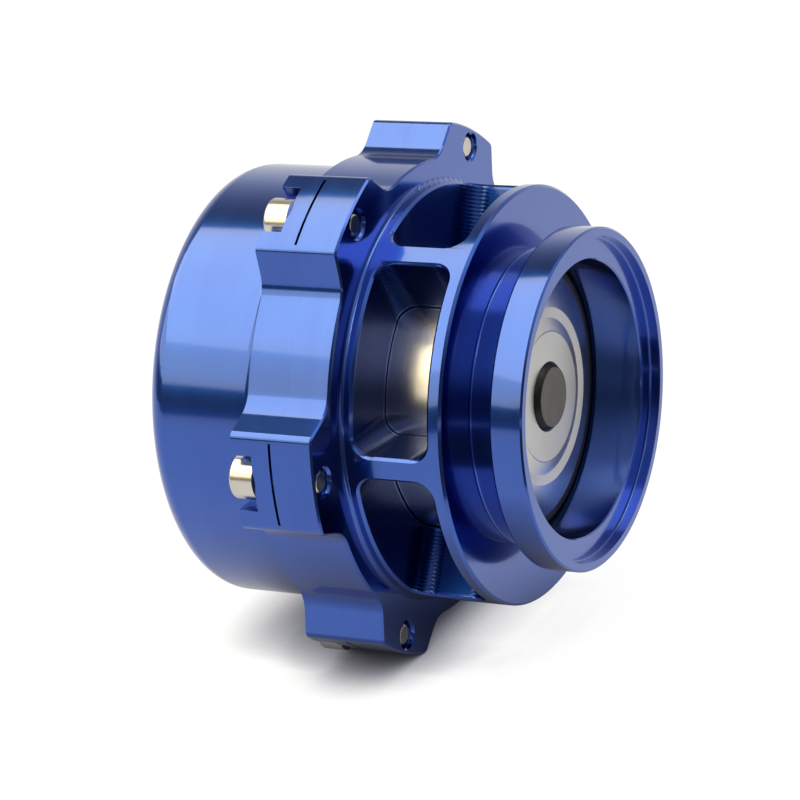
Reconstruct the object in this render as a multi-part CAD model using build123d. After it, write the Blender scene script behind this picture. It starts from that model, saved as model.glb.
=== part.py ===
from build123d import *

import math
import os

# A 50 mm blow-off valve lying on its side, in millimetres.
# The valve's axis is Y: the inlet flange faces -Y and the spring cap closes the +Y end.
# The origin is the centre of the inlet flange's front face, and the valve is shown closed.
# It rests on two of its six lobes, so +Z is up.

# Lobes and ribs
lobe_count = 6
lobe_step = 360 / lobe_count

# Fits
running_clearance = 0.05
seating_clearance = 0.05
loose_clearance = 0.4

# Sliding valve, a cup that closes the windows and is sealed at its front corner
lift = 12.0
valve_r = 26.6
valve_wall = 2.8
valve_flange_thickness = 1.6
inside_chamfer = 1.5

# Seat seal, an O-ring in the valve's front corner
seat_seal_section_r = 0.9
seat_seal_sides = 8
groove_margin = 0.3
groove_play = 0.1
nose_r = valve_r - 2 * seat_seal_section_r - groove_margin

# Inlet flange, held by a vee-band clamp
seat_overlap = 0.3
inlet_bore_r = valve_r - seat_overlap
neck_wall = 1.6
neck_r = inlet_bore_r + neck_wall
recess_step = 4.5
recess_r = inlet_bore_r + recess_step
recess_depth = 2.1
rim_wall = 1.7
flange_r = recess_r + rim_wall
flange_rim = 6.4
flange_cone_angle = 20.0
flange_cone = (flange_r - neck_r) * math.tan(math.radians(flange_cone_angle))
clamp_space = 6.2

# Cage with the six vent windows
cage_front_y = flange_rim + clamp_space
bore_clearance = 0.3
cage_bore_r = valve_r + bore_clearance
seat_cone = cage_bore_r - inlet_bore_r
cage_disc = 2.9
window_front_y = cage_front_y + cage_disc
window_length = 15.1
window_rear_y = window_front_y + window_length
window_corner_r = 3.5
window_chamfer = 0.5
rib_width = 4.5
window_land = 2.3
body_flange_front_y = window_rear_y + window_land

# Valve's face, with the flat head of the centre bolt in its middle
nose_lead = 0.2
nose_y = cage_front_y - nose_lead
face_height = 2.7
valve_face_y = nose_y - face_height
groove_rear_y = nose_y + 2 * seat_seal_section_r + groove_play
bolt_r = 4.0
bolt_head_shoulder = 2.6
bolt_head_r = bolt_r + bolt_head_shoulder
bolt_head_taper = 0.95
bolt_head_stand = 1.1
bolt_head_recess = 2.2
face_centre_width = 5.7
face_centre_r = bolt_head_r + face_centre_width
face_step = 0.5
face_ring_width = 4.1
face_ring_r = face_centre_r + face_step + face_ring_width

# Guide and seal pack round the valve
pack_depth = 1.8
pack_bore_r = valve_r + pack_depth
pack_land = 1.0
pack_front_y = window_rear_y + pack_land
guide_ring_length = 1.8
seal_ring_length = 1.6
seal_ring_wall = 0.65
pack_gap = 0.1
snap_ring_thickness = 0.8
snap_ring_depth = 1.2
snap_groove_depth = 0.9
snap_ring_inner_r = pack_bore_r - snap_ring_depth
snap_groove_r = pack_bore_r + snap_groove_depth
snap_ring_opening = 30.0
pack_inner_r = valve_r + running_clearance
pack_outer_r = pack_bore_r - seating_clearance
front_guide_y = pack_front_y + pack_gap
seal_ring_y = front_guide_y + guide_ring_length + pack_gap
rear_guide_y = seal_ring_y + seal_ring_length + pack_gap
snap_ring_y = rear_guide_y + guide_ring_length + pack_gap
guide_tube_wall = 2.6
guide_tube_r = pack_bore_r + guide_tube_wall
guide_tube_lip = 0.9
guide_tube_rear_y = snap_ring_y + snap_ring_thickness + guide_tube_lip

# Diaphragm, its fold drawn with flat sides
sheet = 1.0
bead_width = 2.0
bead_height = 2.0
fold_r = 2.4
fold_sides = 8
fold_gap = 0.7
fold_inner_r = guide_tube_r + fold_gap + sheet / 2
fold_outer_r = fold_inner_r + 2 * fold_r
pocket_gap = 0.5
pocket_outer_r = fold_outer_r + sheet / 2 + pocket_gap
pocket_land = 2.0
pocket_bottom_y = pack_front_y + pocket_land
fold_floor_gap = 0.9
fold_centre_y = pocket_bottom_y + fold_floor_gap + sheet / 2 + fold_r
bead_land = 2.4
bead_outer_r = pocket_outer_r + bead_land + bead_width
diaphragm_drop = 0.3
valve_flange_gap = 0.5
valve_flange_front_y = guide_tube_rear_y + valve_flange_gap
valve_flange_rear_y = valve_flange_front_y + valve_flange_thickness
valve_flange_inset = 0.5
valve_flange_r = guide_tube_r - valve_flange_inset
pocket_wall = 1.9
cage_r = pocket_outer_r + pocket_wall
joint_y = valve_flange_rear_y + diaphragm_drop

# Spring cup, which clamps the diaphragm on the valve and carries the springs
valve_floor_wall = 1.7
bolt_seal_thickness = 1.0
bolt_seal_width = 1.8
head_recess_y = valve_face_y + bolt_head_recess
valve_floor_y = head_recess_y + bolt_seal_thickness + valve_floor_wall
valve_inner_r = valve_r - valve_wall
cup_wall = 1.2
cup_floor = 1.5
cup_flange_inset = 1.0
cup_flange_r = valve_flange_r - cup_flange_inset
cup_flange_thickness = 1.5
cup_edge_chamfer = 1.9
cup_outer_r = valve_inner_r - loose_clearance
cup_inner_r = cup_outer_r - cup_wall
cup_inner_chamfer = cup_edge_chamfer - cup_wall / 2
cup_floor_y = valve_floor_y + cup_floor
cup_flange_y = valve_flange_rear_y + sheet
cup_flange_rear_y = cup_flange_y + cup_flange_thickness

# Centre bolt, M8, with its seal, washer and lock nut
bolt_overrun = 0.9
bolt_tip_chamfer = 0.6
washer_r = 8.0
washer_thickness = 1.6
insert_wall = 1.2
insert_outer_r = bolt_r + insert_wall
insert_height = 1.5
nut_collar_wall = 0.7
nut_collar_r = insert_outer_r + nut_collar_wall
nut_collar_height = 1.8
nut_shoulder = 0.6
nut_flats = 2 * (nut_collar_r + nut_shoulder)
nut_hex_height = 6.2
nut_height = nut_hex_height + nut_collar_height
washer_y = cup_floor_y
nut_y = washer_y + washer_thickness
bolt_tip_y = nut_y + nut_height + bolt_overrun

# Springs, their round wire drawn with flat sides, and the steel plate that seats them in the cap
wire_sides = 6
outer_wire_r = 1.1
outer_turns = 5.0
inner_wire_r = 0.85
inner_turns = 6.0
spring_cup_clearance = 0.8
outer_spring_r = cup_inner_r - cup_inner_chamfer - spring_cup_clearance - outer_wire_r
seat_ridge_clearance = 0.6
seat_ridge_height = 3.0
seat_ridge_outer_r = outer_spring_r - outer_wire_r - seat_ridge_clearance
spring_room = seat_ridge_outer_r - seat_ridge_clearance - 2 * inner_wire_r - washer_r
inner_spring_share = 0.45
inner_spring_r = washer_r + inner_spring_share * spring_room + inner_wire_r
seat_ridge_inner_r = inner_spring_r + inner_wire_r + seat_ridge_clearance
seat_plate_margin = 1.9
seat_plate_r = outer_spring_r + outer_wire_r + seat_plate_margin
seat_plate_land = 3.0
seat_plate_hole_r = inner_spring_r - seat_plate_land
seat_plate_thickness = 1.8
seat_recess = 0.8

# Hose port and fitting in the cap's end
port_thread_r = 4.9
port_boss_wall = 1.5
port_boss_r = port_thread_r + port_boss_wall
port_boss_height = 4.0
port_gap = 1.1
port_offset = seat_plate_r + port_gap + port_boss_r
port_bore_r = 1.8
nipple_wall = 0.8
nipple_r = port_bore_r + nipple_wall
barb_height = 0.8
barb_r = nipple_r + barb_height
barb_length = 3.2
barb_count = 3
nipple_neck = 3.0
fitting_shoulder = 0.6
fitting_flats = 2 * (port_thread_r + fitting_shoulder)
fitting_hex_height = 5.0
fitting_edge = 0.5

# Spring cap, deep enough for the valve's lift
cap_bore_step = 0.4
cap_bore_r = pocket_outer_r + cap_bore_step
cap_wall = 3.5
cap_r = cap_bore_r + cap_wall
open_gap = 10.5
cap_inner_y = cup_flange_rear_y + lift + open_gap + port_boss_height
cap_end_wall = 3.4
cap_rear_y = cap_inner_y + cap_end_wall
cap_rear_fillet = 4.0
seat_plate_back_y = cap_inner_y + seat_recess
spring_rear_y = seat_plate_back_y - seat_plate_thickness

# Cap screws, M5, one in each lobe
screw_r = 2.5
screw_head_wall = 1.75
screw_head_r = screw_r + screw_head_wall
screw_head_height = 5.0
screw_socket_flats = 4.0
screw_socket_depth = 2.5
screw_chamfer = 0.4
screw_tip_chamfer = 0.7
screw_tip_inset = 0.6
screw_play = 0.25
screw_hole_r = screw_r + screw_play
countersink = 0.5
thread_clearance = 0.05
head_slot_play = 1.15
head_slot_width = 2 * (screw_head_r + head_slot_play)
head_slot_depth = 4.1

# Lobed clamping flange, half of it on the body and half on the cap
ring_wall = 2.0
ring_r = bead_outer_r + ring_wall
hole_land = 0.35
bolt_circle_r = ring_r + hole_land + screw_hole_r
lobe_edge = 0.85
lobe_r = bolt_circle_r + screw_hole_r + lobe_edge
slot_wall = 3.6
lobe_tip_width = head_slot_width + 2 * slot_wall
lobe_flank_angle = 21.0
lobe_tip_fillet = 1.6
lobe_root_fillet = 6.0
cap_flange_thickness = 8.3
cap_flange_rear_y = joint_y + cap_flange_thickness
screw_seat_y = cap_flange_rear_y - head_slot_depth
screw_tip_y = body_flange_front_y + screw_tip_inset
cove_edge = 0.3
cap_cove_fillet = ring_r - cap_r - cove_edge
flange_root_fillet = 0.8
edge_break = 0.35
disc_edge_break = 0.5
pry_gap = 0.5
pry_depth = 2.5
pry_inset = 1.0
pry_width = lobe_tip_width - 2 * pry_inset


def across(y):
    """A sketching plane square to the valve's axis at y, facing the cap."""
    return Plane(origin=(0, y, 0), x_dir=(1, 0, 0), z_dir=(0, 1, 0))


def turned(points):
    """A solid of revolution about the valve's axis from a closed outline of (radius, y) points."""
    return revolve(make_face(Polyline(*points, close=True)), Axis.Y)


def ring(inner_r, outer_r, front_y, rear_y):
    """A plain turned ring."""
    return turned([(inner_r, front_y), (outer_r, front_y), (outer_r, rear_y), (inner_r, rear_y)])


def disc(radius, front_y, rear_y):
    """A plain turned disc or bore cutter."""
    return turned([(0, front_y), (radius, front_y), (radius, rear_y), (0, rear_y)])


def o_ring(mean_r, section_r, y):
    """A round-section seal ring, its section drawn with flat sides."""
    return revolve(Pos(mean_r, y) * RegularPolygon(radius=section_r, side_count=seat_seal_sides), Axis.Y)


def at_each_lobe(shape):
    """Copies of a shape made at angle 0, one for each lobe."""
    return [Rot(0, lobe_step * k, 0) * shape for k in range(lobe_count)]


def at_each_window(shape):
    """Copies of a shape made at angle 0, one for each window, halfway between the lobes."""
    return [Rot(0, lobe_step * (k + 0.5), 0) * shape for k in range(lobe_count)]


def prism(sketch, front_y, rear_y):
    """A sketch in the plane of the lobes, extruded along the axis from front_y to rear_y."""
    return extrude(across(front_y) * sketch, amount=rear_y - front_y)


def round_edges(part, radius, y):
    """The circular edges of a given radius round the valve's axis at y."""
    near = 0.01
    return [
        edge
        for edge in part.edges().filter_by(GeomType.CIRCLE)
        if abs(edge.radius - radius) < near
        and abs(edge.arc_center.Y - y) < near
        and math.hypot(edge.arc_center.X, edge.arc_center.Z) < near
    ]


def hexagon(flats):
    """A hexagon across flats."""
    return RegularPolygon(radius=flats / 2, side_count=6, major_radius=False)


def lobed_outline():
    """The clamping flange's outline: a turned disc with a scallop between each two lobes."""
    tip_x = lobe_r + 1
    base_x = ring_r / 2
    tip_half = lobe_tip_width / 2 - (tip_x - lobe_r) * math.tan(math.radians(lobe_flank_angle))
    base_half = tip_half + (tip_x - base_x) * math.tan(math.radians(lobe_flank_angle))
    lobe = make_face(
        Polyline((base_x, -base_half), (tip_x, -tip_half), (tip_x, tip_half), (base_x, base_half), close=True)
    )
    outline = Circle(ring_r)
    for k in range(lobe_count):
        outline += Rot(0, 0, lobe_step * k) * lobe & Circle(lobe_r)
    corners = outline.vertices()
    middle_r = (ring_r + lobe_r) / 2
    tips = [v for v in corners if math.hypot(v.X, v.Y) > middle_r]
    outline = fillet(tips, lobe_tip_fillet)
    roots = [v for v in outline.vertices() if math.hypot(v.X, v.Y) < ring_r + edge_break]
    return fillet(roots, lobe_root_fillet)


def window_cutter():
    """One vent window, milled inwards from the cage's outside, with radial end walls and round corners."""
    rib_angle = math.degrees(2 * math.asin(rib_width / 2 / cage_r))
    window_angle = lobe_step - rib_angle
    inner_r = cage_bore_r - 1
    outer_r = cage_r + 1
    section = Pos((inner_r + outer_r) / 2, (window_front_y + window_rear_y) / 2) * Rectangle(
        outer_r - inner_r, window_rear_y - window_front_y
    )
    cutter = Rot(0, -window_angle / 2, 0) * revolve(section, Axis.Y, window_angle)
    corners = [
        edge for edge in cutter.edges().filter_by(GeomType.LINE) if abs(edge.tangent_at(0).Y) < 0.5
    ]
    return fillet(corners, window_corner_r)


def window_mouths(body):
    """The windows' edges on the outside of the cage."""
    low = window_front_y - edge_break
    high = window_rear_y + edge_break
    found = []
    for edge in body.edges():
        places = [edge.position_at(share) for share in (0, 0.25, 0.5, 0.75, 1)]
        on_cage = all(abs(math.hypot(p.X, p.Z) - cage_r) < 0.01 for p in places)
        if on_cage and all(low < p.Y < high for p in places):
            found.append(edge)
    return found


def body_outside():
    """Inlet flange, neck and cage as one turned form, with the body's half of the lobed flange."""
    cone_rear = flange_rim + flange_cone
    form = turned(
        [
            (0, 0),
            (flange_r, 0),
            (flange_r, flange_rim),
            (neck_r, cone_rear),
            (neck_r, cage_front_y),
            (cage_r, cage_front_y),
            (cage_r, joint_y),
            (0, joint_y),
        ]
    )
    form += prism(lobed_outline(), body_flange_front_y, joint_y)
    flange_front = form.faces().filter_by(Axis.Y).filter_by(
        lambda face: abs(face.center().Y - body_flange_front_y) < 0.01
    )
    outline = [edge for edge in flange_front.edges() if edge.center().length > 0 and is_outer(edge)]
    form = chamfer(outline, edge_break)
    form = fillet(round_edges(form, cage_r, body_flange_front_y), flange_root_fillet)
    form = chamfer(round_edges(form, cage_r, cage_front_y), disc_edge_break)
    rims = round_edges(form, flange_r, 0) + round_edges(form, flange_r, flange_rim)
    return chamfer(rims, edge_break)


def is_outer(edge):
    """True for an edge of the lobed outline, which lies outside the cage and the cap."""
    middle = edge.position_at(0.5)
    return math.hypot(middle.X, middle.Z) > cap_r + edge_break


def body_inside():
    """What is bored from the body: inlet, seat, valve bore, seal pack, diaphragm pocket and bead groove."""
    seat_rear_y = cage_front_y + seat_cone
    bores = turned(
        [
            (0, 0),
            (recess_r, 0),
            (recess_r, recess_depth),
            (inlet_bore_r, recess_depth),
            (inlet_bore_r, cage_front_y),
            (cage_bore_r, seat_rear_y),
            (cage_bore_r, pack_front_y),
            (pack_bore_r, pack_front_y),
            (pack_bore_r, snap_ring_y - seating_clearance),
            (snap_groove_r, snap_ring_y - seating_clearance),
            (snap_groove_r, snap_ring_y + snap_ring_thickness + seating_clearance),
            (pack_bore_r, snap_ring_y + snap_ring_thickness + seating_clearance),
            (pack_bore_r, guide_tube_rear_y),
            (guide_tube_r, guide_tube_rear_y),
            (guide_tube_r, pocket_bottom_y),
            (pocket_outer_r, pocket_bottom_y),
            (pocket_outer_r, joint_y),
            (0, joint_y),
        ]
    )
    bead_groove = ring(
        bead_outer_r - bead_width - seating_clearance,
        bead_outer_r + seating_clearance,
        joint_y - (bead_height - sheet),
        joint_y,
    )
    return bores + bead_groove


def valve_body():
    """Machined body with the inlet flange, the windowed cage and the tapped half of the lobed flange."""
    body = body_outside() - body_inside()
    body -= at_each_window(window_cutter())
    body = chamfer(window_mouths(body), window_chamfer)
    hole = prism(Pos(bolt_circle_r, 0) * Circle(screw_r), body_flange_front_y, joint_y)
    sink_y = body_flange_front_y + countersink
    sink = extrude(
        across(sink_y) * Pos(bolt_circle_r, 0) * Circle(screw_r), amount=-countersink, taper=-45
    )
    return body - at_each_lobe(hole + sink)


def diaphragm_cap():
    """Machined cap: a plain cup with the screw half of the lobed flange and the hose port."""
    cap = disc(cap_r, joint_y, cap_rear_y) + prism(lobed_outline(), joint_y, cap_flange_rear_y)
    cap = fillet(round_edges(cap, cap_r, cap_flange_rear_y), cap_cove_fillet)
    cap = fillet(round_edges(cap, cap_r, cap_rear_y), cap_rear_fillet)
    inside = turned(
        [
            (0, joint_y),
            (bead_outer_r + seating_clearance, joint_y),
            (bead_outer_r + seating_clearance, joint_y + sheet),
            (cap_bore_r, joint_y + sheet),
            (cap_bore_r, cap_inner_y),
            (seat_plate_r + seating_clearance, cap_inner_y),
            (seat_plate_r + seating_clearance, seat_plate_back_y),
            (0, seat_plate_back_y),
        ]
    )
    boss = prism(Pos(port_offset, 0) * Circle(port_boss_r), cap_inner_y - port_boss_height, cap_inner_y)
    port = prism(
        Pos(port_offset, 0) * Circle(port_thread_r + thread_clearance),
        cap_inner_y - port_boss_height,
        cap_rear_y,
    )
    cap = cap - inside + boss - port
    return cap - at_each_lobe(screw_pocket())


def screw_pocket():
    """What is cut for one cap screw: its hole, the slot for its head and the pry gap at the joint."""
    hole = prism(Pos(bolt_circle_r, 0) * Circle(screw_hole_r), joint_y, screw_seat_y)
    slot_end = lobe_r + 1
    slot = Pos((bolt_circle_r + slot_end) / 2, 0) * Rectangle(slot_end - bolt_circle_r, head_slot_width)
    slot += Pos(bolt_circle_r, 0) * Circle(head_slot_width / 2)
    head_room = prism(slot, screw_seat_y, cap_flange_rear_y + cap_cove_fillet)
    pry_start = lobe_r - pry_depth
    pry = Pos((pry_start + slot_end) / 2, 0) * Rectangle(slot_end - pry_start, pry_width)
    return hole + head_room + prism(pry, joint_y, joint_y + pry_gap)


def cap_screws():
    """Six socket-head screws, whose tips end just below the body flange's front face."""
    head_rear_y = screw_seat_y + screw_head_height
    head = disc(screw_head_r, screw_seat_y, head_rear_y)
    head = chamfer(round_edges(head, screw_head_r, head_rear_y), screw_chamfer)
    head -= prism(hexagon(screw_socket_flats), head_rear_y - screw_socket_depth, head_rear_y)
    shank_r = screw_r - thread_clearance
    shank = disc(shank_r, screw_tip_y, screw_seat_y)
    shank = chamfer(round_edges(shank, shank_r, screw_tip_y), screw_tip_chamfer)
    return Compound(at_each_lobe(Pos(bolt_circle_r, 0, 0) * (head + shank)))


def valve_piston():
    """The sliding valve: stepped and coned face, seal corner, plain skirt and clamping flange."""
    face_inner_y = valve_face_y + face_step
    hole_r = bolt_r + running_clearance
    seal_pocket_r = hole_r + bolt_seal_width + seating_clearance
    seal_pocket_y = head_recess_y + bolt_seal_thickness
    head_r = bolt_head_r + running_clearance
    return turned(
        [
            (head_r, valve_face_y),
            (face_centre_r, valve_face_y),
            (face_centre_r + face_step, face_inner_y),
            (face_ring_r, face_inner_y),
            (nose_r, nose_y),
            (nose_r, groove_rear_y),
            (valve_r, groove_rear_y),
            (valve_r, valve_flange_front_y),
            (valve_flange_r, valve_flange_front_y),
            (valve_flange_r, valve_flange_rear_y),
            (valve_inner_r, valve_flange_rear_y),
            (valve_inner_r, valve_floor_y + inside_chamfer),
            (valve_inner_r - inside_chamfer, valve_floor_y),
            (hole_r, valve_floor_y),
            (hole_r, seal_pocket_y),
            (seal_pocket_r, seal_pocket_y),
            (seal_pocket_r, head_recess_y),
            (head_r, head_recess_y),
        ]
    )


def seat_o_ring():
    """Seal ring in the valve's front corner, which meets the seat's cone."""
    mean_r = nose_r + seat_seal_section_r + seating_clearance
    return o_ring(mean_r, seat_seal_section_r, nose_y + seat_seal_section_r - seating_clearance)


def spring_cup():
    """Turned cup inside the valve, whose flange clamps the diaphragm on the valve's rear face."""
    hole_r = bolt_r + running_clearance
    return turned(
        [
            (hole_r, valve_floor_y),
            (cup_outer_r - cup_edge_chamfer, valve_floor_y),
            (cup_outer_r, valve_floor_y + cup_edge_chamfer),
            (cup_outer_r, cup_flange_y),
            (cup_flange_r, cup_flange_y),
            (cup_flange_r, cup_flange_rear_y),
            (cup_inner_r, cup_flange_rear_y),
            (cup_inner_r, cup_floor_y + cup_inner_chamfer),
            (cup_inner_r - cup_inner_chamfer, cup_floor_y),
            (hole_r, cup_floor_y),
        ]
    )


def valve_bolt():
    """Centre bolt with the tapered flat head that shows in the middle of the valve's face."""
    head_front_y = valve_face_y - bolt_head_stand
    return turned(
        [
            (0, head_front_y),
            (bolt_head_r - bolt_head_taper, head_front_y),
            (bolt_head_r, valve_face_y),
            (bolt_head_r, head_recess_y),
            (bolt_r, head_recess_y),
            (bolt_r, bolt_tip_y - bolt_tip_chamfer),
            (bolt_r - bolt_tip_chamfer, bolt_tip_y),
            (0, bolt_tip_y),
        ]
    )


def bolt_seal():
    """Flat sealing washer in the pocket under the centre bolt's head."""
    inner_r = bolt_r + running_clearance
    return ring(inner_r, inner_r + bolt_seal_width, head_recess_y, head_recess_y + bolt_seal_thickness)


def bolt_washer():
    """Plain washer under the lock nut."""
    return ring(bolt_r + running_clearance, washer_r, washer_y, washer_y + washer_thickness)


def lock_nut():
    """Hexagon lock nut with chamfered corners and a collar that holds the nylon ring."""
    rear_y = nut_y + nut_height
    hex_rear_y = nut_y + nut_hex_height
    corner_r = nut_flats / 2 / math.cos(math.pi / 6)
    corner_drop = (corner_r - nut_flats / 2) * math.tan(math.pi / 6)
    envelope = turned(
        [
            (0, nut_y),
            (nut_flats / 2, nut_y),
            (corner_r, nut_y + corner_drop),
            (corner_r, hex_rear_y - corner_drop),
            (nut_flats / 2, hex_rear_y),
            (0, hex_rear_y),
        ]
    )
    nut = prism(hexagon(nut_flats), nut_y, hex_rear_y) & envelope
    nut += disc(nut_collar_r, hex_rear_y, rear_y)
    nut -= disc(bolt_r + running_clearance, nut_y, rear_y)
    return nut - disc(insert_outer_r, rear_y - insert_height, rear_y)


def nut_locking_ring():
    """Nylon ring held in the lock nut's collar."""
    rear_y = nut_y + nut_height
    return ring(bolt_r + running_clearance, insert_outer_r - running_clearance, rear_y - insert_height, rear_y)


def diaphragm():
    """Reinforced rubber diaphragm: clamped bead, one deep rolling fold and a flat clamped centre."""
    half = sheet / 2
    bead_inner_r = bead_outer_r - bead_width
    inner_hole_r = cup_outer_r + loose_clearance

    def block(inner_r, outer_r, front_y, rear_y):
        middle = Pos((inner_r + outer_r) / 2, (front_y + rear_y) / 2)
        return middle * Rectangle(outer_r - inner_r, rear_y - front_y)

    def loop(radius):
        flat_sided = RegularPolygon(radius=radius, side_count=fold_sides, major_radius=False)
        return Rot(0, 0, 180 / fold_sides) * flat_sided

    fold = loop(fold_r + half) - loop(fold_r - half)
    fold &= Pos(0, -fold_r) * Rectangle(3 * fold_r, 2 * fold_r)
    section = Pos(fold_inner_r + fold_r, fold_centre_y) * fold
    section += block(bead_inner_r, bead_outer_r, joint_y + sheet - bead_height, joint_y + sheet)
    section += block(fold_outer_r - half, bead_inner_r, joint_y, joint_y + sheet)
    section += block(fold_outer_r - half, fold_outer_r + half, fold_centre_y, joint_y + sheet)
    section += block(fold_inner_r - half, fold_inner_r + half, fold_centre_y, cup_flange_y)
    section += block(inner_hole_r, fold_inner_r + half, valve_flange_rear_y, cup_flange_y)
    return revolve(section, Axis.Y)


def snap_ring():
    """Flat retaining ring with an opening, in the groove behind the seal pack."""
    full = ring(
        snap_ring_inner_r,
        snap_groove_r - running_clearance,
        snap_ring_y,
        snap_ring_y + snap_ring_thickness,
    )
    opening = Pos(snap_groove_r / 2, snap_ring_y) * Rectangle(snap_groove_r, 4 * snap_ring_thickness)
    wedge = Rot(0, -snap_ring_opening / 2, 0) * revolve(opening, Axis.Y, snap_ring_opening)
    return full - wedge


def coil_spring(mean_r, wire_r, turns, front_y, rear_y):
    """A compression spring with ground ends, its round wire drawn with flat sides."""
    length = rear_y - front_y
    wire = RegularPolygon(radius=wire_r, side_count=wire_sides)
    path = Helix(pitch=length / turns, height=length, radius=mean_r)
    start = Plane(origin=path @ 0, z_dir=path % 0)
    coil = sweep(start * wire, path=path, is_frenet=True)
    coil = Pos(0, front_y, 0) * Rot(-90, 0, 0) * coil
    return coil & ring(mean_r - 2 * wire_r, mean_r + 2 * wire_r, front_y, rear_y)


def spring_seat():
    """Steel plate in the cap's end, with a ridge that centres both springs."""
    ridge_front_y = spring_rear_y - seat_ridge_height
    plate = ring(seat_plate_hole_r, seat_plate_r, spring_rear_y, seat_plate_back_y)
    ridge = ring(seat_ridge_inner_r, seat_ridge_outer_r, ridge_front_y, spring_rear_y)
    return chamfer(round_edges(plate + ridge, seat_ridge_outer_r, ridge_front_y), edge_break)


def hose_fitting():
    """Threaded fitting with a barbed nipple, which takes the pressure hose."""
    hex_rear_y = cap_rear_y + fitting_hex_height
    outline = [
        (port_bore_r, cap_inner_y - port_boss_height),
        (port_thread_r, cap_inner_y - port_boss_height),
        (port_thread_r, cap_rear_y),
        (fitting_flats / 2, cap_rear_y),
        (fitting_flats / 2, hex_rear_y),
        (nipple_r, hex_rear_y),
        (nipple_r, hex_rear_y + nipple_neck),
    ]
    y = hex_rear_y + nipple_neck
    for _ in range(barb_count):
        outline.append((barb_r, y))
        outline.append((nipple_r, y + barb_length))
        y += barb_length
    outline.append((port_bore_r, y))
    hex_body = prism(hexagon(fitting_flats), cap_rear_y, hex_rear_y)
    corner_r = fitting_flats / 2 / math.cos(math.pi / 6)
    limit = turned(
        [
            (port_bore_r, cap_rear_y),
            (corner_r, cap_rear_y),
            (corner_r, hex_rear_y - fitting_edge),
            (fitting_flats / 2, hex_rear_y),
            (port_bore_r, hex_rear_y),
        ]
    )
    return Pos(port_offset, 0, 0) * (turned(outline) + (hex_body & limit))


def parts():
    """Every sub-part by name, in the order in which the valve goes together."""
    return {
        "valve_body": valve_body(),
        "front_guide_ring": ring(
            pack_inner_r, pack_outer_r, front_guide_y, front_guide_y + guide_ring_length
        ),
        "piston_seal_ring": ring(
            pack_inner_r, pack_inner_r + seal_ring_wall, seal_ring_y, seal_ring_y + seal_ring_length
        ),
        "seal_energiser": ring(
            pack_inner_r + seal_ring_wall, pack_outer_r, seal_ring_y, seal_ring_y + seal_ring_length
        ),
        "rear_guide_ring": ring(
            pack_inner_r, pack_outer_r, rear_guide_y, rear_guide_y + guide_ring_length
        ),
        "snap_ring": snap_ring(),
        "valve_piston": valve_piston(),
        "seat_o_ring": seat_o_ring(),
        "diaphragm": diaphragm(),
        "spring_cup": spring_cup(),
        "valve_bolt": valve_bolt(),
        "bolt_seal": bolt_seal(),
        "bolt_washer": bolt_washer(),
        "lock_nut": lock_nut(),
        "nut_locking_ring": nut_locking_ring(),
        "outer_spring": coil_spring(outer_spring_r, outer_wire_r, outer_turns, cup_floor_y, spring_rear_y),
        "inner_spring": coil_spring(inner_spring_r, inner_wire_r, inner_turns, cup_floor_y, spring_rear_y),
        "spring_seat": spring_seat(),
        "diaphragm_cap": diaphragm_cap(),
        "cap_screws": cap_screws(),
        "hose_fitting": hose_fitting(),
    }


os.makedirs("parts", exist_ok=True)
for name, shape in parts().items():
    export_step(shape, f"parts/{name}.step")
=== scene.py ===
import math

import bmesh
import bpy
from mathutils import Matrix, Vector


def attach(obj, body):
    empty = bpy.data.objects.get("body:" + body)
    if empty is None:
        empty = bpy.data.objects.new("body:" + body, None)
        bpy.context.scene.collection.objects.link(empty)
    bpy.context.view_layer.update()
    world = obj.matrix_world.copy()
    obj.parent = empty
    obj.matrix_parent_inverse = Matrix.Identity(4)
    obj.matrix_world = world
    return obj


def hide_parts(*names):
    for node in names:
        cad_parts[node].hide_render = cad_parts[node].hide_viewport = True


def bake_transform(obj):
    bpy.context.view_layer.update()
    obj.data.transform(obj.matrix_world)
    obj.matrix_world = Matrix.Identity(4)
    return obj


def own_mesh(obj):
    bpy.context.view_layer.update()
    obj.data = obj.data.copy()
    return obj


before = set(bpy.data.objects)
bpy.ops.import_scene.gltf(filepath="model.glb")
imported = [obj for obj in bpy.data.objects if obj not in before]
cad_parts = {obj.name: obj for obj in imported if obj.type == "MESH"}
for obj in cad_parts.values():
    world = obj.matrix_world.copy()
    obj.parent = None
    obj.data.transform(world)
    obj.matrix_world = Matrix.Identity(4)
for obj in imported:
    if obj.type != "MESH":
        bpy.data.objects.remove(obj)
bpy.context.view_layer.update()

MM = 0.001

# Camera, as the photograph shows the valve lying on its side
camera_place = (-537.34, -257.47, 225.49)
camera_back = (-0.81904, -0.45601, 0.34817)
camera_right = (0.48645, -0.87371, 0.0)
camera_roll = -6.766
camera_lens = 152.66
sensor_width = 36.0

# Measures of the valve that the added detail follows, in millimetres
floor_z = -47.96
lobe_count = 6
lobe_step = 360 / lobe_count
cage_r = 39.9
cage_bore_r = 26.9
window_front_y = 15.5
window_rear_y = 30.6
window_corner_r = 3.5
rib_width = 4.5
window_half_angle = lobe_step / 2 - math.degrees(math.asin(rib_width / 2 / cage_r))

# Direction of the studio's pale wall, seen from the valve
wall_azimuth = math.radians(30)

# Machining detail: the end mill's ridges in the windows, and the edges and corners of turned parts
mill_step = 0.75
mill_ridge = 0.08
mill_clearance = 0.02
mill_start = 1.2
mill_overrun = 3.0
steps_per_ridge = 3
edge_round = 0.12
tool_nose = 0.4
bore_chamfer = 0.25

# Circles on the body where two turned surfaces meet: radius, distance along the axis, width, segments
turned_corners = (
    (30.8, 2.1, tool_nose, 3),
    (27.9, 12.6, tool_nose, 3),
    (27.9, 8.074, tool_nose, 3),
    (26.3, 2.1, bore_chamfer, 1),
)

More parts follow.
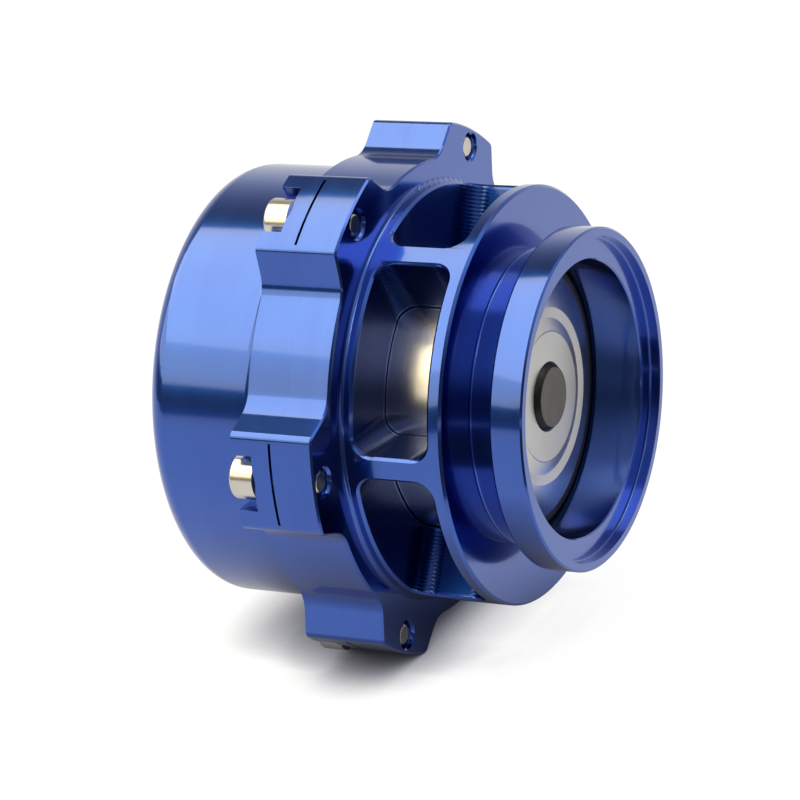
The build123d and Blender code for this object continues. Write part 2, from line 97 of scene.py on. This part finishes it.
# Section of the sliding valve, from its face round the outside and back through its bore
face_centre_r = 12.35
valve_section = (
    (6.65, 9.7),
    (face_centre_r, 9.7),
    (12.45, 9.85),
    (13.6, 10.12),
    (14.7, 10.44),
    (15.0, 10.48),
    (15.3, 10.44),
    (16.9, 10.18),
    (24.5, 12.4),
    (24.5, 14.3),
    (26.45, 14.3),
    (26.6, 14.45),
    (26.6, 39.4),
    (30.4, 39.4),
    (30.5, 39.5),
    (30.5, 41.0),
    (23.8, 41.0),
    (23.8, 16.1),
    (22.3, 14.6),
    (4.05, 14.6),
    (4.05, 12.9),
    (5.9, 12.9),
    (5.9, 11.9),
    (6.65, 11.9),
)
seat_ring_r = 25.45
seat_ring_y = 13.25
seat_ring_section_r = 0.9
bolt_head_front_y = 8.6

# Diaphragm: the clamped web with the fold's inner wall, and the rest of the fold with the bead
web_front_y = 41.0
fold_centre_y = 37.4
web_section = (
    (23.8, web_front_y),
    (31.7, web_front_y),
    (31.7, 40.1),
    (31.7, 39.2),
    (31.7, 38.3),
    (31.7, fold_centre_y),
    (32.7, fold_centre_y),
    (32.7, 38.3),
    (32.7, 39.2),
    (32.7, 40.1),
    (32.7, 41.4),
    (32.1, 42.0),
    (23.8, 42.0),
)
fold_r = 2.4
fold_sheet = 1.0
fold_middle_r = 34.6
bead_section = (
    (36.5, 42.3),
    (42.4, 42.3),
    (42.4, 40.3),
    (40.4, 40.3),
    (40.4, 41.3),
    (37.5, 41.3),
)

# Sides of round pieces, and the angle above which an edge stays a crease in the shading
valve_sides = 192
seal_sides = 128
seal_section_sides = 20
diaphragm_sides = 96
fold_sides = 12
mill_sides = 32
crease_angle = 32.0

# The cloth's sector of the floor: its two radii in metres, its height and its angles
cloth_near = 0.085
cloth_far = 0.75
cloth_height = 0.4
cloth_start = -192
cloth_angle = 86

# What the lamps face, along the valve's axis
lit_centre_y = 40


# Shader maths

class Link:
    """An output of a shader node. Arithmetic on links adds Math nodes."""

    def __init__(self, finish, socket):
        self.finish = finish
        self.socket = socket

    def output(self, name):
        return Link(self.finish, self.socket.node.outputs[name])

    def math(self, operation, *values):
        return self.finish.add("Math", {"operation": operation}, *values)

    def sine(self):
        return self.math("SINE", self)

    def at_most(self, other):
        return self.math("MINIMUM", self, other)

    def at_least(self, other):
        return self.math("MAXIMUM", self, other)

    def __add__(self, other):
        return self.math("ADD", self, other)

    def __radd__(self, other):
        return self.math("ADD", other, self)

    def __rsub__(self, other):
        return self.math("SUBTRACT", other, self)

    def __mul__(self, other):
        return self.math("MULTIPLY", self, other)

    def __pow__(self, other):
        return self.math("POWER", self, other)


class Finish:
    """The nodes of a material or of the world, and the methods that add them."""

    def __init__(self, owner):
        owner.use_nodes = True
        self.owner = owner
        self.tree = owner.node_tree
        self.tree.nodes.clear()

    def add(self, kind, settings, *inputs, **named):
        node = self.tree.nodes.new("ShaderNode" + kind)
        for key, value in settings.items():
            setattr(node, key, value)
        usable = [socket for socket in node.inputs if socket.enabled]
        pairs = list(zip(usable, inputs))
        pairs += [(node.inputs[key.replace("_", " ")], value) for key, value in named.items()]
        for socket, value in pairs:
            if isinstance(value, Link):
                self.tree.links.new(value.socket, socket)
            elif value is not None:
                socket.default_value = value
        outputs = [socket for socket in node.outputs if socket.enabled]
        return Link(self, outputs[0]) if outputs else None

    def place(self):
        return self.add("TexCoord", {}).output("Object")

    def noise(self, vector, scale, detail, roughness):
        return self.add("TexNoise", {}, Vector=vector, Scale=scale, Detail=detail, Roughness=roughness)

    def ramp(self, value, low, high):
        """0 below low, 1 above high, smooth between them."""
        return self.add(
            "MapRange", {"interpolation_type": "SMOOTHSTEP"}, Value=value, From_Min=low, From_Max=high
        )

    def mix(self, factor, first, second):
        return self.add("Mix", {"data_type": "RGBA"}, factor, first, second)


def material(name):
    return Finish(bpy.data.materials.new(name))


def surface(finish, normal=None, **sockets):
    """Closes a material with one Principled shader."""
    shader = finish.add("BsdfPrincipled", {}, **sockets)
    if normal is not None:
        finish.tree.links.new(normal.socket, shader.socket.node.inputs["Normal"])
    finish.add("OutputMaterial", {}, Surface=shader)
    return finish.owner


def turning(finish):
    """Radius from the valve's axis, distance along it, and the two as a vector for turning marks."""
    parts = finish.add("SeparateXYZ", {}, finish.place())
    x, y, z = (parts.output(name) for name in "XYZ")
    radius = (x * x + z * z) ** 0.5
    return radius, y, finish.add("CombineXYZ", {}, radius, y, 0.0)


def bump(finish, height, distance, strength):
    return finish.add("Bump", {}, Strength=strength, Distance=distance, Height=height)


# Finishes

def blue_anodised():
    """Clear blue dye over turned aluminium: a tinted metal under a clear, hard oxide."""
    finish = material("blue_anodised")
    radius, along, lathe = turning(finish)
    fine = finish.noise(lathe, 5200.0, 3.0, 0.6)
    broad = finish.noise(lathe, 420.0, 2.0, 0.5)
    cloud = finish.noise(finish.place(), 38.0, 3.0, 0.55)
    tone = finish.mix(
        finish.ramp(cloud * 0.7 + broad * 0.3, 0.35, 0.68),
        (0.006, 0.074, 0.445, 1),
        (0.010, 0.090, 0.485, 1),
    )
    # painted shade: the windows' walls are darkened in colour as shade in the recesses; the end mill also
    # leaves them duller than the turned and faced surfaces
    milled_and_shaded = (
        finish.ramp(radius, (cage_bore_r + 0.3) * MM, (cage_bore_r + 0.6) * MM)
        * (1 - finish.ramp(radius, (cage_r - 1.1) * MM, (cage_r - 0.6) * MM))
        * finish.ramp(along, (window_front_y - 0.4) * MM, (window_front_y - 0.2) * MM)
        * (1 - finish.ramp(along, (window_rear_y + 0.2) * MM, (window_rear_y + 0.4) * MM))
    )
    # painted shade: the windows' walls are mixed halfway towards a deep dark blue
    tone = finish.mix(milled_and_shaded * 0.5, tone, (0.001, 0.008, 0.055, 1))
    roughness = 0.14 + fine * 0.06 + broad * 0.06 + milled_and_shaded * 0.12
    normal = bump(finish, fine * 0.6 + broad * 0.4, 0.000004, 0.5)
    return surface(
        finish,
        normal,
        Base_Color=tone,
        Metallic=1.0,
        Roughness=roughness,
        Coat_Weight=1.0 - milled_and_shaded * 0.6,
        Coat_Roughness=0.09,
        Coat_IOR=1.65,
    )


def turned_aluminium():
    """Bare aluminium turned with a fine feed, satin on its face and brighter on its skirt."""
    finish = material("turned_aluminium")
    radius, _, lathe = turning(finish)
    fine = finish.noise(lathe, 5200.0, 2.0, 0.5)
    grain = finish.noise(finish.place(), 2600.0, 3.0, 0.6)
    stain = finish.noise(finish.place(), 60.0, 4.0, 0.6)
    tone = finish.mix(finish.ramp(stain, 0.3, 0.75), (0.62, 0.615, 0.60, 1), (0.70, 0.695, 0.68, 1))
    skirt = finish.ramp(radius, 25.5 * MM, 26.3 * MM)
    roughness = 0.28 - skirt * 0.12 + fine * 0.06 + grain * 0.07
    normal = bump(finish, fine * 0.35 + grain * 0.35, 0.000006, 0.5)
    return surface(finish, normal, Base_Color=tone, Metallic=1.0, Roughness=roughness)


def black_steel():
    """Black oxide on steel, with the flat end of the head coloured a lighter warm grey than the rest."""
    finish = material("black_steel")
    _, along, _ = turning(finish)
    grain = finish.noise(finish.place(), 1400.0, 4.0, 0.6)
    cloud = finish.noise(finish.place(), 260.0, 3.0, 0.5)
    patches = finish.ramp(cloud, 0.3, 0.7)
    oxide = finish.mix(patches, (0.016, 0.016, 0.017, 1), (0.030, 0.029, 0.028, 1))
    # the flat end of the head is coloured a lighter warm grey than the black side behind it
    end_face_grey = finish.mix(patches, (0.120, 0.110, 0.102, 1), (0.150, 0.138, 0.128, 1))
    behind_end = finish.ramp(along, (bolt_head_front_y + 0.06) * MM, (bolt_head_front_y + 0.12) * MM)
    tone = finish.mix(behind_end, end_face_grey, oxide)
    normal = bump(finish, grain, 0.000008, 0.6)
    return surface(
        finish,
        normal,
        Base_Color=tone,
        Metallic=0.7,
        Roughness=0.34 + grain * 0.14,
        Coat_Weight=0.15,
        Coat_Roughness=0.2,
    )


def plain_metal(name, dark, light, roughness):
    """A drawn, plated or machined metal with a light grain."""
    finish = material(name)
    grain = finish.noise(finish.place(), 900.0, 4.0, 0.6)
    cloud = finish.noise(finish.place(), 100.0, 2.0, 0.5)
    tone = finish.mix(finish.ramp(cloud, 0.3, 0.7), (*dark, 1), (*light, 1))
    normal = bump(finish, grain, 0.000004, 0.5)
    return surface(finish, normal, Base_Color=tone, Metallic=1.0, Roughness=roughness + grain * 0.10)


def soft_solid(name, dark, light, roughness):
    """Rubber or plastic with a fine moulded grain."""
    finish = material(name)
    grain = finish.noise(finish.place(), 1500.0, 4.0, 0.6)
    cloud = finish.noise(finish.place(), 125.0, 3.0, 0.5)
    tone = finish.mix(finish.ramp(cloud, 0.3, 0.7), (*dark, 1), (*light, 1))
    normal = bump(finish, grain, 0.00001, 0.5)
    return surface(finish, normal, Base_Color=tone, Roughness=roughness + grain * 0.12)


def woven_rubber():
    """Diaphragm rubber over a fabric whose weave shows faintly."""
    finish = material("diaphragm_rubber")
    place = finish.place()
    parts = finish.add("SeparateXYZ", {}, place)
    thread = 2 * math.pi / (0.5 * MM)
    weave = (parts.output("X") * thread).sine() * (parts.output("Z") * thread).sine()
    grain = finish.noise(place, 1600.0, 3.0, 0.5)
    tone = finish.mix(grain, (0.012, 0.012, 0.013, 1), (0.028, 0.028, 0.029, 1))
    normal = bump(finish, weave * 0.5 + grain, 0.00003, 0.5)
    return surface(finish, normal, Base_Color=tone, Roughness=0.62 + grain * 0.2)


# Shapes

def mesh_copy(name, node):
    """A copy of a CAD node with its loose triangles joined and its flat faces whole."""
    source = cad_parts[node]
    made = bpy.data.meshes.new(name)
    shape = bmesh.new()
    shape.from_mesh(source.data)
    bmesh.ops.remove_doubles(shape, verts=shape.verts, dist=0.002 * MM)
    bmesh.ops.dissolve_limit(
        shape, angle_limit=math.radians(0.6), use_dissolve_boundaries=False,
        verts=shape.verts, edges=shape.edges,
    )
    shape.to_mesh(made)
    shape.free()
    piece = bpy.data.objects.new(name, made)
    bpy.context.scene.collection.objects.link(piece)
    return piece


def cut(piece, tools):
    """Takes the tools' shapes out of a piece."""
    for tool in tools:
        step = piece.modifiers.new("cut", "BOOLEAN")
        step.operation = "DIFFERENCE"
        step.solver = "EXACT"
        step.object = tool
    bake_modifiers(piece)
    for tool in tools:
        bpy.data.objects.remove(tool)


def bake_modifiers(piece):
    """Writes a piece's modifiers into its mesh."""
    bpy.context.view_layer.update()
    graph = bpy.context.evaluated_depsgraph_get()
    done = bpy.data.meshes.new_from_object(piece.evaluated_get(graph))
    piece.modifiers.clear()
    piece.data = done


def soften(piece, width, crease=crease_angle):
    """Rounds the sharp edges a little, and shades the rest smooth but for its creases."""
    bevel = piece.modifiers.new("edge break", "BEVEL")
    bevel.width = width * MM
    bevel.segments = 2
    bevel.limit_method = "ANGLE"
    bevel.angle_limit = math.radians(40)
    bevel.use_clamp_overlap = True
    bevel.miter_outer = "MITER_ARC"
    bake_modifiers(piece)
    smooth(piece, crease)


def smooth(piece, crease=crease_angle):
    """Shades a piece smooth but for its creases."""
    piece.data.polygons.foreach_set("use_smooth", [True] * len(piece.data.polygons))
    piece.data.set_sharp_from_angle(angle=math.radians(crease))
    weights = piece.modifiers.new("weighted normals", "WEIGHTED_NORMAL")
    weights.keep_sharp = True
    bake_modifiers(piece)


def dress(piece, finish, body, node):
    """Gives a finished piece its material and its body if it has one alone, and hides the CAD node it stands
    for.
    """
    piece.data.materials.clear()
    piece.data.materials.append(finish)
    if body:
        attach(piece, body)
    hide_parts(node)


def finished(name, shape):
    """An object from a bmesh whose faces are turned outwards."""
    bmesh.ops.recalc_face_normals(shape, faces=shape.faces)
    made = bpy.data.meshes.new(name)
    shape.to_mesh(made)
    shape.free()
    piece = bpy.data.objects.new(name, made)
    bpy.context.scene.collection.objects.link(piece)
    return piece


def spun(name, shape, steps):
    """Turns a closed section in the XY plane round the valve's axis."""
    bmesh.ops.spin(
        shape, geom=shape.verts[:] + shape.edges[:], cent=(0, 0, 0), axis=(0, 1, 0), dvec=(0, 0, 0),
        angle=2 * math.pi, steps=steps, use_merge=True, use_duplicate=False,
    )
    return finished(name, shape)


def section_ring(name, section, steps):
    """A ring whose section runs through the given points."""
    shape = bmesh.new()
    corners = [shape.verts.new((radius * MM, y * MM, 0)) for radius, y in section]
    for first, second in zip(corners, corners[1:] + corners[:1]):
        shape.edges.new((first, second))
    return spun(name, shape, steps)


def round_turned_corners(piece):
    """Gives the corners between turned surfaces the radius of the tool's nose."""
    shape = bmesh.new()
    shape.from_mesh(piece.data)
    for radius, y, width, segments in turned_corners:
        corner = {
            vert for vert in shape.verts
            if abs(math.hypot(vert.co.x, vert.co.z) - radius * MM) < 0.02 * MM
            and abs(vert.co.y - y * MM) < 0.02 * MM
        }
        edges = [edge for edge in shape.edges if set(edge.verts) <= corner and edge.calc_length() < 4 * MM]
        bmesh.ops.bevel(
            shape, geom=edges, offset=width * MM, offset_type="OFFSET", segments=segments, profile=0.5,
            affect="EDGES", clamp_overlap=True, material=-1, loop_slide=True,
        )
    shape.to_mesh(piece.data)
    shape.free()


def mill_column():
    """The ridged path of an end mill down one window corner, along its own Z axis."""
    shape = bmesh.new()
    count = round((cage_r - cage_bore_r + mill_overrun) / mill_step) * steps_per_ridge
    before = window_corner_r + mill_clearance
    bmesh.ops.create_circle(shape, cap_ends=True, segments=mill_sides, radius=before)
    edges = shape.edges[:]
    for step in range(1, count + 1):
        grown = bmesh.ops.extrude_edge_only(shape, edges=edges)["geom"]
        ring = {part for part in grown if isinstance(part, bmesh.types.BMVert)}
        edges = [part for part in grown if isinstance(part, bmesh.types.BMEdge) and set(part.verts) <= ring]
        ridge = mill_ridge * math.sin(math.pi * step / steps_per_ridge) ** 2
        after = window_corner_r + mill_clearance + ridge
        bmesh.ops.translate(shape, vec=(0, 0, mill_step / steps_per_ridge), verts=list(ring))
        bmesh.ops.scale(shape, vec=(after / before, after / before, 1), verts=list(ring))
        before = after
    bmesh.ops.edgeloop_fill(shape, edges=edges)
    made = bpy.data.meshes.new("mill column")
    shape.to_mesh(made)
    shape.free()
    return made


def corner_mills():
    """All the paths that the end mill leaves in the four corners of each window."""
    column = mill_column()
    shape = bmesh.new()
    for window in range(lobe_count):
        middle = lobe_step * (window + 0.5)
        for side in (-1, 1):
            wall = math.radians(middle + side * window_half_angle)
            outwards = Vector((math.cos(wall), 0, math.sin(wall)))
            into_window = Vector((math.sin(wall), 0, -math.cos(wall))) * side
            for y in (window_front_y + window_corner_r, window_rear_y - window_corner_r):
                start = (
                    outwards * (cage_bore_r - mill_start) + into_window * window_corner_r + Vector((0, y, 0))
                )
                turn = Matrix((into_window, outwards.cross(into_window), outwards)).transposed().to_4x4()
                placed = len(shape.verts)
                shape.from_mesh(column)
                shape.verts.ensure_lookup_table()
                bmesh.ops.transform(
                    shape, matrix=Matrix.Scale(MM, 4) @ Matrix.Translation(start) @ turn,
                    verts=shape.verts[placed:],
                )
    bpy.data.meshes.remove(column)
    return finished("corner mills", shape)


# Pieces

def machined_body(finish):
    """The body, with the end mill's ridges in its window corners."""
    piece = mesh_copy("machined_body", "valve_body")
    round_turned_corners(piece)
    cut(piece, [corner_mills()])
    soften(piece, edge_round)
    dress(piece, finish, "housing", "valve_body")


def sliding_valve(finish):
    """The bare valve, with the groove and the narrow land round the middle of its face."""
    piece = section_ring("sliding_valve", valve_section, valve_sides)
    soften(piece, 0.1, 12.0)
    dress(piece, finish, "valve", "valve_piston")


def seat_seal(finish):
    """The round rubber ring in the valve's front corner."""
    shape = bmesh.new()
    bmesh.ops.create_circle(shape, segments=seal_section_sides, radius=seat_ring_section_r * MM)
    bmesh.ops.translate(shape, vec=(seat_ring_r * MM, seat_ring_y * MM, 0), verts=shape.verts)
    piece = spun("seat_seal", shape, seal_sides)
    smooth(piece)
    dress(piece, finish, "valve", "seat_o_ring")


def machined_cap(finish):
    piece = mesh_copy("machined_cap", "diaphragm_cap")
    soften(piece, edge_round)
    dress(piece, finish, "housing", "diaphragm_cap")


def shaded_copy(name, node, finish, body, width):
    """A CAD node with its edges rounded by the given width."""
    piece = mesh_copy(name, node)
    soften(piece, width)
    dress(piece, finish, body, node)


def diaphragm_fold(finish):
    """The diaphragm's fold and bead, which stay with the housing."""
    shape = bmesh.new()
    arcs = []
    for radius in (fold_r + fold_sheet / 2, fold_r - fold_sheet / 2):
        first = shape.verts.new(((fold_middle_r - radius) * MM, fold_centre_y * MM, 0))
        bmesh.ops.spin(
            shape, geom=[first], cent=(fold_middle_r * MM, fold_centre_y * MM, 0), axis=(0, 0, 1),
            dvec=(0, 0, 0), angle=math.pi, steps=fold_sides, use_merge=False, use_duplicate=False,
        )
        arcs.append([vert for vert in shape.verts if all(vert not in arc for arc in arcs)])
    outer, inner = arcs
    wall = [shape.verts.new((radius * MM, y * MM, 0)) for radius, y in bead_section]
    path = [inner[-1]] + wall + [outer[-1]]
    for first, second in list(zip(path, path[1:])) + [(outer[0], inner[0])]:
        shape.edges.new((first, second))
    piece = spun("diaphragm_fold", shape, diaphragm_sides)
    smooth(piece)
    dress(piece, finish, "housing", "diaphragm")


def diaphragm_web(finish):
    """The diaphragm's clamped web and the fold's inner wall, shaded smooth and left on no body."""
    piece = section_ring("diaphragm_web", web_section, diaphragm_sides)
    smooth(piece)
    dress(piece, finish, None, "diaphragm")
    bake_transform(piece)


def closing_spring(name, node, finish):
    """A spring copied from its CAD node, shaded smooth and attached to the housing with a mesh of its own.
    """
    piece = mesh_copy(name, node)
    smooth(piece, 70.0)
    dress(piece, finish, "housing", node)
    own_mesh(piece)


# Studio

def aim(place, back, right, roll):
    """A camera's matrix from its place and the directions that it looks along."""
    back = Vector(back).normalized()
    right = Vector(right).normalized()
    up = back.cross(right)
    turn = math.radians(roll)
    x = right * math.cos(turn) + up * math.sin(turn)
    y = up * math.cos(turn) - right * math.sin(turn)
    matrix = Matrix((x, y, back)).transposed().to_4x4()
    matrix.translation = Vector(place) * MM
    return matrix


def add_camera():
    data = bpy.data.cameras.new("camera")
    data.lens = camera_lens
    data.sensor_width = sensor_width
    data.clip_start = 0.01
    camera = bpy.data.objects.new("camera", data)
    camera.matrix_world = aim(camera_place, camera_back, camera_right, camera_roll)
    bpy.context.scene.collection.objects.link(camera)
    bpy.context.scene.camera = camera


def direction(azimuth, elevation):
    """The unit vector towards a place in the room, from its two angles in degrees."""
    turn = math.radians(azimuth)
    rise = math.radians(elevation)
    return Vector((math.cos(turn) * math.cos(rise), math.sin(turn) * math.cos(rise), math.sin(rise)))


def softbox(name, azimuth, elevation, distance, width, height, radiance, tint, aside=0, above=0):
    """A rectangular lamp that faces the valve, moved in its own plane by aside and above."""
    data = bpy.data.lights.new(name, "AREA")
    data.shape = "RECTANGLE"
    data.size = width
    data.size_y = height
    data.color = tint
    data.energy = radiance * math.pi * width * height
    lamp = bpy.data.objects.new(name, data)
    facing = direction(azimuth, elevation).to_track_quat("Z", "Y").to_matrix().to_4x4()
    centre = Matrix.Translation((0, lit_centre_y * MM, 0))
    lamp.matrix_world = centre @ facing @ Matrix.Translation((aside, above, distance))
    bpy.context.scene.collection.objects.link(lamp)


def only_in_reflections(piece):
    piece.visible_camera = False
    piece.visible_shadow = False
    piece.visible_diffuse = False


def grey_cloth():
    """A grey cloth on the floor before the valve, which shows only in its reflections."""
    shape = bmesh.new()
    near = shape.verts.new((cloth_near, 0, (floor_z + cloth_height) * MM))
    far = shape.verts.new((cloth_far, 0, (floor_z + cloth_height) * MM))
    shape.edges.new((near, far))
    turn = Matrix.Rotation(math.radians(cloth_start), 3, "Z")
    bmesh.ops.rotate(shape, cent=(0, 0, 0), matrix=turn, verts=shape.verts)
    bmesh.ops.spin(
        shape, geom=shape.verts[:] + shape.edges[:], cent=(0, 0, 0), axis=(0, 0, 1), dvec=(0, 0, 0),
        angle=math.radians(cloth_angle), steps=20, use_merge=False, use_duplicate=False,
    )
    piece = finished("grey_cloth", shape)
    only_in_reflections(piece)
    finish = material("grey_cloth")
    surface(finish, Base_Color=(0.08, 0.08, 0.085, 1), Roughness=1.0)
    piece.data.materials.append(finish.owner)


def add_floor():
    """A white floor that keeps the lamps' faint cast shadow of the valve, with a painted soft shadow added
    to its glow, darkest where the valve nearly touches it.
    """
    shape = bmesh.new()
    bmesh.ops.create_grid(shape, x_segments=1, y_segments=1, size=3.0)
    bmesh.ops.translate(shape, vec=(0, 0, floor_z * MM), verts=shape.verts)
    floor = finished("floor", shape)
    finish = material("floor")
    rays = finish.add("LightPath", {})
    seen = rays.output("Is Camera Ray")
    mirrored = rays.output("Is Glossy Ray").at_least(rays.output("Is Transmission Ray"))
    # painted shadow: ambient occlusion dims the floor's glow near the valve, to the camera and in
    # reflections, and tints it blue there
    open_sky = finish.add("AmbientOcclusion", {"samples": 16}, Distance=0.055 - seen * 0.040).output("AO")
    tint = finish.mix(finish.ramp(open_sky, 0.1, 0.9), (0.80, 0.82, 1.0, 1), (1, 1, 1, 1))
    paper = finish.add("BsdfDiffuse", {}, Color=(0.08, 0.08, 0.08, 1))
    lit = (open_sky * 1.15).at_most(1.0) ** 1.6 * (seen * 0.96 + mirrored * 0.74)
    glow = finish.add("Emission", {}, Color=tint, Strength=lit)
    both = finish.add("AddShader", {}, paper, glow)
    finish.add("OutputMaterial", {}, Surface=both)
    floor.data.materials.append(finish.owner)


def add_world():
    """White to the camera; in reflections a dim room that is paler before and beside the valve."""
    world = bpy.data.worlds.new("studio")
    bpy.context.scene.world = world
    finish = Finish(world)
    rays = finish.add("LightPath", {})
    towards = finish.add("SeparateXYZ", {}, finish.add("TexCoord", {}).output("Generated"))
    x, y, height = (towards.output(name) for name in "XYZ")
    wall_side = finish.ramp(x * math.cos(wall_azimuth) + y * math.sin(wall_azimuth), 0.0, 0.6)
    wall = finish.mix(finish.ramp(height, 0.25, 0.92), (0.70, 0.70, 0.70, 1), (0.12, 0.12, 0.12, 1))
    front = finish.mix(finish.ramp(height, 0.25, 0.65), (0.10, 0.10, 0.11, 1), (0.70, 0.70, 0.70, 1))
    back = finish.mix(finish.ramp(0 - y, -0.1, 0.4), (0.13, 0.13, 0.14, 1), front)
    room = finish.mix(wall_side, back, wall)
    colour = finish.mix(rays.output("Is Camera Ray"), room, (1, 1, 1, 1))
    glow = finish.add("Background", {}, Color=colour, Strength=1.0)
    finish.add("OutputWorld", {}, Surface=glow)


add_camera()
add_floor()
add_world()
grey_cloth()
warm = (1.0, 0.85, 0.56)
softbox("softbox", 118.0, 57.0, 0.75, 1.00, 0.65, 3.2, warm, aside=0.14)
softbox("softbox_lower", 118.0, 57.0, 0.75, 0.98, 0.36, 1.9, warm, aside=0.27, above=-0.50)
softbox("softbox_front", -58.0, 60.0, 0.90, 0.50, 0.50, 1.6, (1.0, 0.96, 0.84))

blue = blue_anodised()
silver = turned_aluminium()
black = black_steel()
stainless = plain_metal("stainless_steel", (0.66, 0.63, 0.57), (0.76, 0.73, 0.67), 0.18)
zinc = plain_metal("zinc_steel", (0.50, 0.51, 0.53), (0.60, 0.61, 0.62), 0.28)
wire = plain_metal("spring_steel", (0.22, 0.22, 0.23), (0.32, 0.32, 0.33), 0.30)
brass = plain_metal("brass", (0.60, 0.43, 0.17), (0.72, 0.53, 0.24), 0.22)
seal = soft_solid("seal_rubber", (0.006, 0.006, 0.007), (0.014, 0.014, 0.015), 0.50)
guide = soft_solid("guide_ptfe", (0.16, 0.10, 0.05), (0.24, 0.16, 0.09), 0.50)
white_seal = soft_solid("seal_ptfe", (0.68, 0.67, 0.64), (0.78, 0.77, 0.74), 0.35)
nylon = soft_solid("nylon", (0.62, 0.65, 0.70), (0.72, 0.75, 0.80), 0.35)
diaphragm = woven_rubber()

machined_body(blue)
machined_cap(blue)
sliding_valve(silver)
seat_seal(seal)
shaded_copy("face_bolt", "valve_bolt", black, "valve", 0.15)
shaded_copy("socket_screws", "cap_screws", stainless, "housing", 0.15)
shaded_copy("barbed_fitting", "hose_fitting", brass, "housing", 0.12)
diaphragm_fold(diaphragm)
diaphragm_web(diaphragm)
closing_spring("outer_coil", "outer_spring", wire)
closing_spring("inner_coil", "inner_spring", wire)

inner_finish = {
    "front_guide_ring": guide,
    "rear_guide_ring": guide,
    "piston_seal_ring": white_seal,
    "seal_energiser": seal,
    "snap_ring": wire,
    "spring_cup": silver,
    "bolt_seal": seal,
    "bolt_washer": zinc,
    "lock_nut": zinc,
    "nut_locking_ring": nylon,
    "spring_seat": zinc,
}
for node, finish in inner_finish.items():
    cad_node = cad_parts[node]
    cad_node.data.materials.clear()
    cad_node.data.materials.append(finish)

scene = bpy.context.scene
scene.view_settings.view_transform = "Standard"
